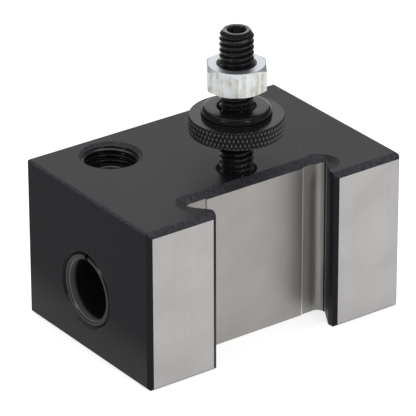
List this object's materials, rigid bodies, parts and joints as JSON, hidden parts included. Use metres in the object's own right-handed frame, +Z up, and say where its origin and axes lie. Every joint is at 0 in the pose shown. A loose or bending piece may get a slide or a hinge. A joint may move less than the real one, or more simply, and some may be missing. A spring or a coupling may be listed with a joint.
{
  "type": "boring bar holder",
  "caption": "Rectangular black steel boring bar holder with a ground dovetail socket, a split bore sleeve, wedge clamp screws, and a height stud with a knurled nut and a hex lock nut.",
  "frame": {"origin": "middle of the block's underside", "axes": "+X along the block and the tool bore, +Y from the dovetail face to the back, +Z up along the height stud"},
  "size_m": [0.0762, 0.052, 0.0793],
  "materials": {
    "black_oxide_block": "black oxide, with ground bright pads and a ground socket floor",
    "black_oxide_hardware": "glossy black oxide",
    "zinc_plate": "bright zinc plate"
  },
  "bodies": {
    "holder": {"holder_block": "black_oxide_block", "height_stud": "black_oxide_hardware"},
    "knurled_nut": {"knurled_nut": "black_oxide_hardware"},
    "lock_nut": {"lock_nut": "zinc_plate"},
    "sleeve": {"split_sleeve": "black_oxide_hardware"},
    "plug_near": {"clamp_plug_near": "black_oxide_hardware"},
    "plug_far": {"clamp_plug_far": "black_oxide_hardware"},
    "screw_near": {"clamp_screw_near": "black_oxide_hardware"},
    "screw_far": {"clamp_screw_far": "black_oxide_hardware"}
  },
  "joints": [
    {"name": "height_nut", "type": "slide", "parent": "holder", "child": "knurled_nut", "axis": [0, 0, 1], "range_m": [-0.01, 0.004]},
    {"name": "lock_nut", "type": "slide", "parent": "knurled_nut", "child": "lock_nut", "axis": [0, 0, 1], "range_m": [-0.0048, 0.003]},
    {"name": "sleeve_slide", "type": "slide", "parent": "holder", "child": "sleeve", "axis": [-1, 0, 0], "range_m": [0, 0.078]},
    {"name": "plug_near_slide", "type": "slide", "parent": "holder", "child": "plug_near", "axis": [0, 0, 1], "range_m": [-0.002, 0.004]},
    {"name": "plug_far_slide", "type": "slide", "parent": "holder", "child": "plug_far", "axis": [0, 0, 1], "range_m": [-0.002, 0.004]},
    {"name": "screw_near_turn", "type": "hinge", "parent": "plug_near", "child": "screw_near", "pos_m": [-0.0201, 0.0156, 0.03], "axis": [0, 0, 1], "range_deg": [-511, 1021]},
    {"name": "screw_far_turn", "type": "hinge", "parent": "plug_far", "child": "screw_far", "pos_m": [0.0201, 0.0156, 0.03], "axis": [0, 0, 1], "range_deg": [-511, 1021]}
  ],
  "couplings": [
    {"joint": "screw_near_turn", "follows": "plug_near_slide", "rad_per_m": 4453},
    {"joint": "screw_far_turn", "follows": "plug_far_slide", "rad_per_m": 4453}
  ]
}
